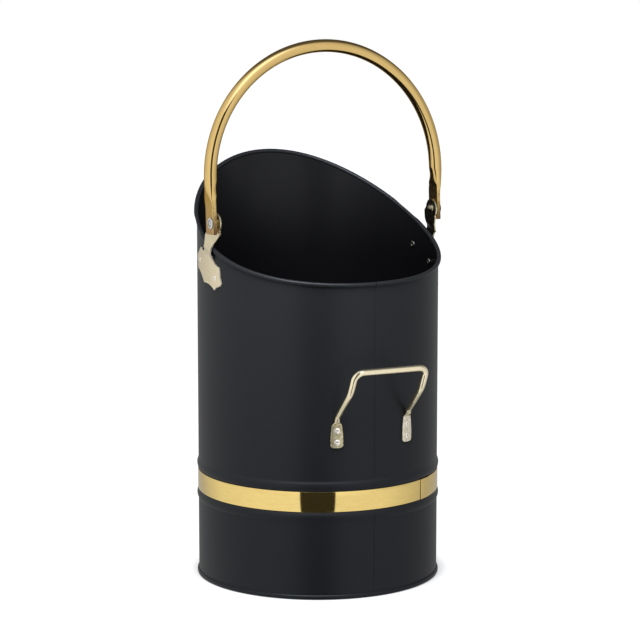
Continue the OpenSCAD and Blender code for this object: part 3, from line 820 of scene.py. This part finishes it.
def earPlate(side):
    # the plate, and its edge faces as (index, v)
    outline = earOutline(side)
    shape = bmesh.new()
    corners = [shape.verts.new((u, v, 0)) for u, v in outline]
    shape.faces.new(corners)
    cuts = [((0, v, 0), (0, 1, 0)) for v in np.arange(-12, 62, 2.0)]
    cuts += [((u, 0, 0), (1, 0, 0)) for u in np.arange(-28, 29, 2.0)]
    for where, normal in cuts:
        everything = shape.verts[:] + shape.edges[:] + shape.faces[:]
        bmesh.ops.bisect_plane(shape, geom=everything, dist=1e-5, plane_co=where,
                               plane_no=normal)
    made = bmesh.ops.extrude_face_region(shape, geom=shape.faces[:])
    for part in made["geom"]:
        if isinstance(part, bmesh.types.BMVert):
            part.co.z = ear["sheet"]
    bmesh.ops.recalc_face_normals(shape, faces=shape.faces)
    rim = []
    for edge in shape.edges:
        if len(edge.link_faces) == 2:
            a, b = (f.normal for f in edge.link_faces)
            if abs(abs(a.z) - abs(b.z)) > 0.9:
                rim.append(edge)
    bmesh.ops.bevel(shape, geom=rim, offset=ear["edge"], segments=2, profile=0.6,
                    affect="EDGES", clamp_overlap=True)
    bmesh.ops.triangulate(shape, faces=shape.faces)
    shape.verts.index_update()
    raw = np.array([v.co for v in shape.verts])
    faces = [tuple(v.index for v in f.verts) for f in shape.faces]
    edges = [(i, f.calc_center_median().y) for i, f in enumerate(shape.faces)
             if abs(f.normal.z) < 0.97]
    shape.free()
    points = earPlace(side, raw[:, 0], raw[:, 1], raw[:, 2])
    return sidedObject(side, "Ear", points, faces, crease=32), edges


for side, word in sideWords.items():
    plate, edges = earPlate(side)
    dress(plate, "scuttle", word + "_ear", paleBrass)
    lampSpares.append(plate)
    # painted shade on the faces that look at the can
    cover(plate, shadedBack, looksIn(0.8))
    # painted highlight on the edges below highlightBelow, painted shade on the edges above it, up
    # to the head
    highlightTo = ear["highlightBelow"][side]
    paint(plate, edgeHighlight, [i for i, v in edges if v < highlightTo])
    paint(plate, headEdgeShade, [i for i, v in edges if v >= highlightTo])
print("scuttle: ears made")

pin = {"headX": 126.4, "headD": 11.2, "headH": 1.1, "neckD": 9.4, "neckH": 0.32,
       "pitD": 6.3, "pitDeep": 0.55,
       "shankD": 5.0, "tailX": 118.45, "tailD": 8.4, "tailH": 3.4, "back": 0.4,
       "washerX": 119.95, "washerD": 11.0, "washerH": 2.4, "washerBore": 5.1}


def domeProfile(d, h, count):
    # from the crown down to the rim
    ballR = ((d / 2) ** 2 + h ** 2) / (2 * h)
    reach = math.degrees(math.asin(min(1.0, d / 2 / ballR)))
    if h > d / 2:
        reach = 180 - reach
    turns = np.radians(np.linspace(0, reach, count + 1))
    return np.column_stack([ballR * np.sin(turns), h - ballR + ballR * np.cos(turns)])


def onPivot(side, kind, raw, faces):
    # lays a turned piece along the pivot's axis
    points = raw[:, [2, 0, 1]] + [0, pivot["y"] + pin["back"], pivot["z"]]
    return sidedObject(side, kind, points, faces, crease=38)


def pivotPin(side):
    r, pit, h, deep = pin["headD"] / 2, pin["pitD"] / 2, pin["headH"], pin["pitDeep"]
    head = [(0, h - deep), (pit - 1.0, h - deep), (pit - 0.7, h - deep + 0.12),
            (pit - 0.4, h - 0.22), (pit, h - 0.05), (pit + 0.35, h), (r - 1.2, h - 0.06),
            (r - 0.5, h - 0.2), (r - 0.12, h - 0.42), (r, h - 0.6),
            (r - 0.2, pin["neckH"] + 0.02), (pin["neckD"] / 2, pin["neckH"]),
            (pin["neckD"] / 2, 0.12)]
    tail = domeProfile(pin["tailD"], pin["tailH"], 12)[::-1]
    headX, tailX, shank = pin["headX"], pin["tailX"], pin["shankD"] / 2
    profile = [(r, headX + h) for r, h in head]
    profile += [(pin["neckD"] / 2 - 0.1, headX), (shank, headX), (shank, tailX)]
    profile += [(r, tailX - h) for r, h in tail]
    return onPivot(side, "PivotPin", *latheOnAxis(profile, 40))


def washer(side):
    r, bore, h, e = pin["washerD"] / 2, pin["washerBore"] / 2, pin["washerH"], 0.2
    outline = np.array([(bore, 0.1), (bore + 0.1, 0), (r - e, 0), (r, e), (r, h - e),
                        (r - e, h), (bore + 0.1, h), (bore, h - 0.1)])
    raw, faces = turned(outline, 48)
    return onPivot(side, "Washer", raw + [0, 0, pin["washerX"]], faces)


def inPinPit(at, normal):
    # painted shade: the hollow under the head, and the wall of the pit in it, take a near black
    # colour
    away = math.hypot(at.y - pivot["y"] - pin["back"], at.z - pivot["z"])
    under = abs(at.x) < pin["headX"] + pin["neckH"] + 0.1
    wall = pin["pitD"] / 2 - 0.72 < away < pin["pitD"] / 2 - 0.1
    return abs(at.x) > pin["headX"] and (under or wall)


for side, word in sideWords.items():
    rivet = dress(pivotPin(side), "scuttle", word + "_pivot_rivet", zincSteel)
    # painted shade on the tail inside the ear
    cover(rivet, shadedBack, lambda at, normal: abs(at.x) < pin["tailX"] - 0.01)
    cover(rivet, pitShade, inPinPit)
    if side > 0:
        lampSpares.append(rivet)
    # painted shade on the washer between bail and ear
    lampSpares.append(dress(washer(side), "scuttle", word + "_washer",
                            shadedWasher))

sheetRivet = {"shankD": 3.6, "headD": 6.0, "headH": 0.95, "tailD": 6.8, "tailH": 1.1,
              "hole": 1.98, "dimpleD": 1.7, "dimpleH": 0.6, "gap": 0.05, "pitR": 0.62,
              "tailIn": 0.7}
earRivetU = 18.0
padRivets = {"turn": 18.447, "low": 156.5, "top": 167.9, "plate": 2.2}


def tubularRivet(side, place, end, turnFromX, z, plate):
    # turnFromX is in degrees from +X towards +Y, on the right side; plate is what it goes through
    s = sheetRivet
    out = plate + 2 * s["gap"]
    wallIn = -(can["sheet"] + s["gap"])
    head = domeProfile(s["headD"], s["headH"], 10)
    sink = s["dimpleH"] * (1 - smoothStep((head[:, 0] - s["dimpleD"] / 2 + 0.35) / 0.7))
    head[:, 1] -= sink
    head[-1, 1] += 0.12
    tailR, tailH, hole = s["tailD"] / 2, s["tailH"], s["hole"] / 2
    profile = [(r, out + h) for r, h in head]
    profile += [(s["headD"] / 2 - 0.1, out), (s["shankD"] / 2, out), (s["shankD"] / 2, wallIn)]
    profile += [(tailR - 0.15, wallIn), (tailR, wallIn - 0.2)]
    curl = arc(tailR - tailH * 0.75, wallIn - 0.35, tailH * 0.75, 0, -90, 6)
    profile += [(r, h) for r, h in curl]
    profile += [(hole + 0.45, wallIn - tailH * 0.98), (hole, wallIn - tailH * 0.6)]
    profile += [(hole, wallIn + 0.55), (0, wallIn + 0.6)]
    raw, faces = latheOnAxis(profile, 32)
    t = math.radians(turnFromX)
    outward = np.array([math.cos(t), math.sin(t), 0])
    across = np.array([-math.sin(t), math.cos(t), 0])
    centre = outward * can["radius"] + np.array([0, 0, z])
    up = np.array([0, 0, 1.0])
    points = centre + raw[:, 2:3] * outward + raw[:, 0:1] * across + raw[:, 1:2] * up
    rivet = sidedObject(side, place.title() + end.title() + "Rivet", points, faces, crease=40)
    dress(rivet, "scuttle", f"{sideWords[side]}_{place}_{end}_rivet", rivetNickel)
    middleX, middleY = side * centre[0], centre[1]

    # painted shade in the middle of the head's dimple
    def inPit(at, normal):
        flatR = math.hypot(at.x, at.y)
        share = flatR / can["radius"]
        away = math.hypot(at.x - middleX * share, at.y - middleY * share, at.z - z)
        return flatR > can["radius"] + plate and away < s["pitR"]

    cover(rivet, pitShade, inPit)
    cover(rivet, rivetTail,
          lambda at, normal: math.hypot(at.x, at.y) < can["radius"] - s["tailIn"])
    return rivet


tilt = math.radians(ear["tilt"])
for side in sideWords:
    for way, end in ((-1, "front"), (1, "back")):
        y = ear["leafY"][side] + way * earRivetU * math.cos(tilt)
        z = ear["leafZ"] + way * earRivetU * math.sin(tilt)
        turn = math.degrees(math.asin(y / can["radius"]))
        rivet = tubularRivet(side, "ear", end, turn, z, ear["sheet"])
        if side > 0:
            lampSpares.append(rivet)
    for end in ("low", "top"):
        tubularRivet(side, "pad", end, padRivets["turn"] - 90, padRivets[end], padRivets["plate"])
print("scuttle: rivets made")

# The handle's angles are in degrees from level. "hand" words bend it out of true, as by hand.
handle = {"wallGap": 0.05, "rodR": 3.12, "legR": 2.8, "slimTo": 192.0, "slimOver": 26.0,
          "startX": 39.0, "startZ": 177.5, "pathR": 123.0,
          "padLow": 151.0, "padHigh": 173.8, "padWide": 12.5, "padTopWide": 9.8,
          "padThick": 2.2, "padRound": 3.2, "padTurn": 18.447, "padSquare": 0.38,
          "padStraight": 8.8, "shoulder": 0.55, "shoulderHigh": 1.6,
          "legAngle": 47.1, "legLength": 29.2, "topAngle": 66.0, "topLength": 10.2,
          "padBendR": 8.0, "legBendR": 30.0, "cornerR": 9.0,
          "handFrom": 185.0, "handOver": 35.0, "handHalf": 36, "handShift": (1.15, 0.55),
          "handSkew": 0.35, "longAt": (151, 162, 174, 190), "longBy": (-0.9, 0.5, 1.7, 0)}


def heading(angle):
    return np.array([math.cos(math.radians(angle)), math.sin(math.radians(angle))])


def leftOf(angle):
    return np.array([-math.sin(math.radians(angle)), math.cos(math.radians(angle))])


def legPath():
    h = handle
    startV = h["pathR"] * math.cos(math.radians(h["padTurn"]))
    start = np.array([startV, h["startZ"]])
    c1 = start - h["padBendR"] * leftOf(90)
    path = [c1 + h["padBendR"] * leftOf(a) for a in np.linspace(90, h["legAngle"], 11)]
    after = path[-1] + h["legLength"] * heading(h["legAngle"])
    path += list(np.linspace(path[-1], after, 9)[1:-1])
    c2 = after + h["legBendR"] * leftOf(h["legAngle"])
    path += [c2 - h["legBendR"] * leftOf(a) for a in np.linspace(h["legAngle"], h["topAngle"], 9)]
    path += [path[-1] + h["topLength"] * heading(h["topAngle"]) * s for s in (0.5, 1.0)]
    return [np.array([h["startX"], -v, z]) for v, z in path]


def shapedRing(turns, z, half, thick, square, r, wrap):
    # wrap is 1 where the section lies on the can and 0 where it is flat
    out = thick * np.sign(np.cos(turns)) * np.abs(np.cos(turns)) ** square
    across = half * np.sign(np.sin(turns)) * np.abs(np.sin(turns)) ** square
    side = math.asin(handle["startX"] / handle["pathR"])
    lean = side * wrap
    centre = np.array([r * math.sin(side), -r * math.cos(side), z])
    outward = np.array([math.sin(lean), -math.cos(lean), 0])
    sideways = np.array([math.cos(lean), math.sin(lean), 0])
    bend = (r + out) * (1 - np.cos(across / r)) * wrap
    reach = across * (1 - wrap) + (r + out) * np.sin(across / r) * wrap
    return centre + (out - bend)[:, None] * outward + reach[:, None] * sideways


def padRings(count):
    h = handle
    turns = 2 * math.pi * np.arange(count) / count
    rings = []
    wallR = can["radius"] + h["wallGap"]
    rows = []
    for dz in (0.0, 0.15, 0.45, 0.9, 1.5, 2.2, 3.0, 3.8, 4.5):
        corner = math.sqrt(max(0.0, h["padRound"] ** 2 - (h["padRound"] - dz) ** 2))
        rows.append((dz, h["padWide"] / 2 - h["padRound"] + corner, min(1.0, 0.72 + dz * 0.6)))
    straight = h["padStraight"]
    rows += [(6.5, h["padWide"] / 2, 1.0), (straight, h["padWide"] / 2 - 0.02, 1.0)]
    rows += [(z, None, 1.0) for z in np.linspace(10.5, 21.0, 8)]
    padTall = h["padHigh"] - h["padLow"]
    for dz, half, full in rows:
        if half is None:
            s = (dz - straight) / (padTall - straight)
            half = h["padWide"] / 2 + (h["padTopWide"] - h["padWide"]) / 2 * (s ** 1.25)
        rings.append(shapedRing(turns, h["padLow"] + dz, half, h["padThick"] / 2 * full,
                                h["padSquare"], wallR + h["padThick"] / 2, 1.0))
    # the shoulder, and the swelling from the pad to the round rod
    for s in np.linspace(0, 1, 13):
        swell = float(smoothStep(s))
        z = h["padHigh"] - 0.4 + (h["startZ"] + 0.4 - h["padHigh"]) * s
        step = float(smoothStep(s / 0.14)) * h["shoulder"]
        topHalf = h["padTopWide"] / 2 - step * 0.6
        half = topHalf * (1 - swell) + h["legR"] * swell
        thick = (h["padThick"] / 2 + step * 0.2) * (1 - swell) + h["legR"] * swell
        square = h["padSquare"] + (1 - h["padSquare"]) * swell
        rings.append(shapedRing(turns, z, half, thick, square, wallR + thick, 1 - s))
    return rings


def rodRing(turns, centre, along, outward):
    along = along / np.linalg.norm(along)
    out = outward - outward @ along * along
    out /= np.linalg.norm(out)
    across = np.cross(along, out)
    grown = smoothStep((centre[2] - handle["slimTo"]) / handle["slimOver"])
    r = handle["legR"] + (handle["rodR"] - handle["legR"]) * grown
    return centre + r * np.cos(turns)[:, None] * out + r * np.sin(turns)[:, None] * across


def tippingHandle():
    count = 32
    turns = 2 * math.pi * np.arange(count) / count
    rings = padRings(count)
    path = legPath()
    topAngle = math.radians(handle["topAngle"])
    up = np.array([0, -math.cos(topAngle), math.sin(topAngle)])
    corner = path[-1]
    for t in np.radians(np.linspace(0, 90, 15)[1:]):
        path.append(corner + handle["cornerR"] * ((math.cos(t) - 1) * np.array([1.0, 0, 0])
                                                  + math.sin(t) * up))
    endX, barY, barZ = path[-1]
    path += [np.array([x, barY, barZ]) for x in np.linspace(endX, 0, 9)[1:]]
    outward = np.array([0, -math.sin(topAngle), -math.cos(topAngle)])
    for i in range(1, len(path)):
        ahead = path[min(i + 1, len(path) - 1)] - path[i - 1]
        rings.append(rodRing(turns, path[i], ahead, outward))
    # the ring on the middle plane is shared by the two halves
    rings += [mirroredX(r) for r in rings[-2::-1]]
    points, faces = loft(rings)
    # the bar sits a little to the right, its left end stands higher, and the right pad is longer
    share = smoothStep((points[:, 2] - handle["handFrom"]) / handle["handOver"])
    half = handle["handHalf"]
    points[:, 0] += share * np.interp(points[:, 0], (-half, half), handle["handShift"])
    points[:, 2] -= handle["handSkew"] * share * np.clip(points[:, 0] / half, -1, 1)
    long = np.interp(points[:, 2], handle["longAt"], handle["longBy"])
    points[:, 2] += np.where(points[:, 0] > 0, long, 0)
    return makeObject("tippingHandle", points, faces, crease=50)


rod = dress(tippingHandle(), "scuttle", "tipping_handle", paleRod)
cover(rod, padBrass, lambda at, normal: at.z < handle["padHigh"] and at.x < 0)
cover(rod, lightPad,
      lambda at, normal: at.z < handle["padHigh"] + handle["shoulderHigh"] and at.x > 0)
lampSpares.append(rod)
print("scuttle: handle made")

# The studio. Turns are in degrees to the right, seen from the object's middle, with the camera
# at 0. "around" and "below" are levels of grey by turn, above and below the horizon; "lamp" and
# "dark" are round patches: their turn, their height, and where they start and end to fade.
studio = {"frontTurn": 27.25,
          "around": ((-180, 0.5), (-150, 0.6), (-110, 0.7), (-80, 0.84), (-50, 0.95), (-15, 1.05),
                     (20, 1.08), (48, 0.97), (66, 0.72), (90, 0.52), (115, 0.5), (135, 0.7),
                     (150, 0.7), (180, 0.5)),
          "below": ((-180, 0.42), (-145, 0.5), (-105, 0.86), (-60, 0.96), (-15, 0.98),
                    (20, 0.92), (66, 0.88), (90, 0.72), (125, 0.5), (180, 0.42)),
          "horizon": (-0.12, 0.03), "diffuseGain": 1.05,
          "lamp": (12, 52, 3, 30), "lampTint": (0.7, 0.9, 1.5),
          "dark": (165, 55, 26, 58), "darkLevel": 0.09,
          "floorHalf": 6000, "floorTone": 0.3, "floorLift": 0.85, "floorShade": 18.0}


def wayTo(turn, high):
    # a direction from the object's middle, by its turn and its height in degrees
    t = math.radians(turn)
    front = math.radians(studio["frontTurn"])
    towards = np.array([-math.sin(front), -math.cos(front)])
    right = np.array([math.cos(front), -math.sin(front)])
    flat = towards * math.cos(t) + right * math.sin(t)
    high = math.radians(high)
    return (flat[0] * math.cos(high), flat[1] * math.cos(high), math.sin(high))


def patch(graph, way, kind):
    # 1 inside a round patch of the surroundings, 0 outside it
    turn, high, inner, outer = studio[kind]
    inputs = {0: way, 1: wayTo(turn, high)}
    dot = graph.add("ShaderNodeVectorMath", inputs, operation="DOT_PRODUCT").outputs["Value"]
    return graph.climb(dot, math.cos(math.radians(outer)), math.cos(math.radians(inner)))


def makeWorld():
    world = bpy.data.worlds.new("softStudio")
    bpy.context.scene.world = world
    world.use_nodes = True
    graph = Graph(world.node_tree)
    way = graph.add("ShaderNodeTexCoord").outputs["Generated"]
    part = graph.split(way)
    flat = []
    for direction in (wayTo(90, 0), wayTo(0, 0)):
        east = graph.math("MULTIPLY", part["X"], direction[0])
        flat.append(graph.math("MULTIPLY_ADD", part["Y"], direction[1], east))
    turn = graph.math("ARCTAN2", flat[0], flat[1])
    share = graph.math("MULTIPLY_ADD", turn, 0.5 / math.pi, 0.5)
    around = graph.ramp(share, [((t + 180) / 360, level) for t, level in studio["around"]])
    below = graph.ramp(share, [((t + 180) / 360, level) for t, level in studio["below"]])
    inputs = {0: patch(graph, way, "lamp"), 1: studio["lampTint"], 2: around}
    lit = graph.add("ShaderNodeVectorMath", inputs, operation="MULTIPLY_ADD").outputs[0]
    lit = graph.mix(patch(graph, way, "dark"), lit, studio["darkLevel"])
    lit = graph.mix(graph.climb(part["Z"], *studio["horizon"]), below, lit)
    path = graph.add("ShaderNodeLightPath").outputs
    gain = graph.between(path["Is Diffuse Ray"], 1.0, studio["diffuseGain"])
    graded = graph.add("ShaderNodeVectorMath", {0: lit, "Scale": gain}, operation="SCALE")
    # the camera sees plain white behind the object
    seen = graph.math("ADD", path["Is Camera Ray"], path["Is Transmission Ray"], clamp=True)
    graph.feed(world.node_tree.nodes["Background"],
               {"Color": graph.mix(seen, graded.outputs[0], 1.0), "Strength": 1.0})


def makeFloor():
    half = studio["floorHalf"]
    points = [(-half, -half, 0), (half, -half, 0), (half, half, 0), (-half, half, 0)]
    floor = makeObject("floor", points, [(0, 1, 2, 3)])
    material, graph, end = plainMaterial("floorPaper")
    path = graph.add("ShaderNodeLightPath").outputs
    seen = graph.math("ADD", path["Is Camera Ray"], path["Is Glossy Ray"])
    seen = graph.math("ADD", seen, path["Is Transmission Ray"], clamp=True)
    # a contact shadow: the paper's glow dims by ambient occlusion close to the foot
    close = graph.add("ShaderNodeAmbientOcclusion", {"Distance": studio["floorShade"] * mm},
                      samples=16)
    level = graph.math("MULTIPLY", close.outputs["AO"], studio["floorLift"])
    paper = graph.add("ShaderNodeBsdfDiffuse", {"Color": colourOf(studio["floorTone"])})
    lift = graph.add("ShaderNodeEmission", {"Color": (1, 1, 1, 1),
                                            "Strength": graph.math("MULTIPLY", seen, level)})
    both = graph.add("ShaderNodeAddShader", {0: paper.outputs[0], 1: lift.outputs[0]})
    graph.feed(end, {"Surface": both.outputs[0]})
    floor.data.materials.append(material)
    floor.visible_glossy = False  # metal shows the soft surroundings there, level with the floor


makeWorld()
makeFloor()

# a narrow black card that only shiny metal sees: the dark strip in the band and the bail
card = {"away": 420.0, "halfWide": 107.0, "low": -500.0, "high": 660.0, "level": 0.035,
        "colour": (1, 0.95, 0.85, 1)}


def makeCard():
    towards = np.array(wayTo(0, 0))
    right = np.array(wayTo(90, 0))
    points = []
    for across, z in ((-1, "low"), (1, "low"), (1, "high"), (-1, "high")):
        place = towards * card["away"] + right * (across * card["halfWide"])
        points.append((place[0], place[1], card[z]))
    flag = makeObject("blackCard", points, [(0, 1, 2, 3)])
    material, graph, end = plainMaterial("cardPaper")
    paper = graph.add("ShaderNodeEmission", {"Color": card["colour"], "Strength": card["level"]})
    graph.feed(end, {"Surface": paper.outputs[0]})
    flag.data.materials.append(material)
    flag.visible_camera = False
    flag.visible_diffuse = False
    flag.visible_shadow = False
    flag.visible_transmission = False


makeCard()


def aimed(name, data, place, towards):
    # a lamp or a camera, which both look along their own -Z
    thing = bpy.data.objects.new(name, data)
    bpy.context.scene.collection.objects.link(thing)
    thing.location = Vector(place) * mm
    thing.rotation_mode = "QUATERNION"
    thing.rotation_quaternion = Vector(towards).to_track_quat("-Z", "Y")
    return thing


lamp = {"away": 430.0, "aside": -60.0, "high": 820.0, "aimZ": 260.0, "size": 480.0, "watts": 10.0}


def makeLamp():
    data = bpy.data.lights.new("softLamp", "AREA")
    data.size = lamp["size"] * mm
    data.energy = lamp["watts"]
    place = np.array(wayTo(0, 0)) * lamp["away"] + np.array(wayTo(90, 0)) * lamp["aside"]
    place[2] = lamp["high"]
    thing = aimed("softLamp", data, place, np.array([0, 0, lamp["aimZ"]]) - place)
    thing.visible_camera = False
    # polished pieces mirror only the soft surroundings
    spared = bpy.data.collections.new("lampSpares")
    for piece in lampSpares:
        spared.objects.link(piece)
    thing.light_linking.receiver_collection = spared
    for entry in spared.collection_objects:
        entry.light_linking.link_state = "EXCLUDE"


makeLamp()

camera = {"sensor": 36.0, "lens": 162.2, "far": 50.0, "at": (-1300.6, -2525.0, 742.8),
          "towards": (0.4520, 0.8758, -0.1690)}


def makeCamera():
    data = bpy.data.cameras.new("camera")
    data.sensor_width = camera["sensor"]
    data.lens = camera["lens"]
    data.clip_end = camera["far"]
    bpy.context.scene.camera = aimed("camera", data, camera["at"], camera["towards"])


makeCamera()
bpy.context.scene.view_settings.view_transform = "Standard"
print("scuttle: studio made")
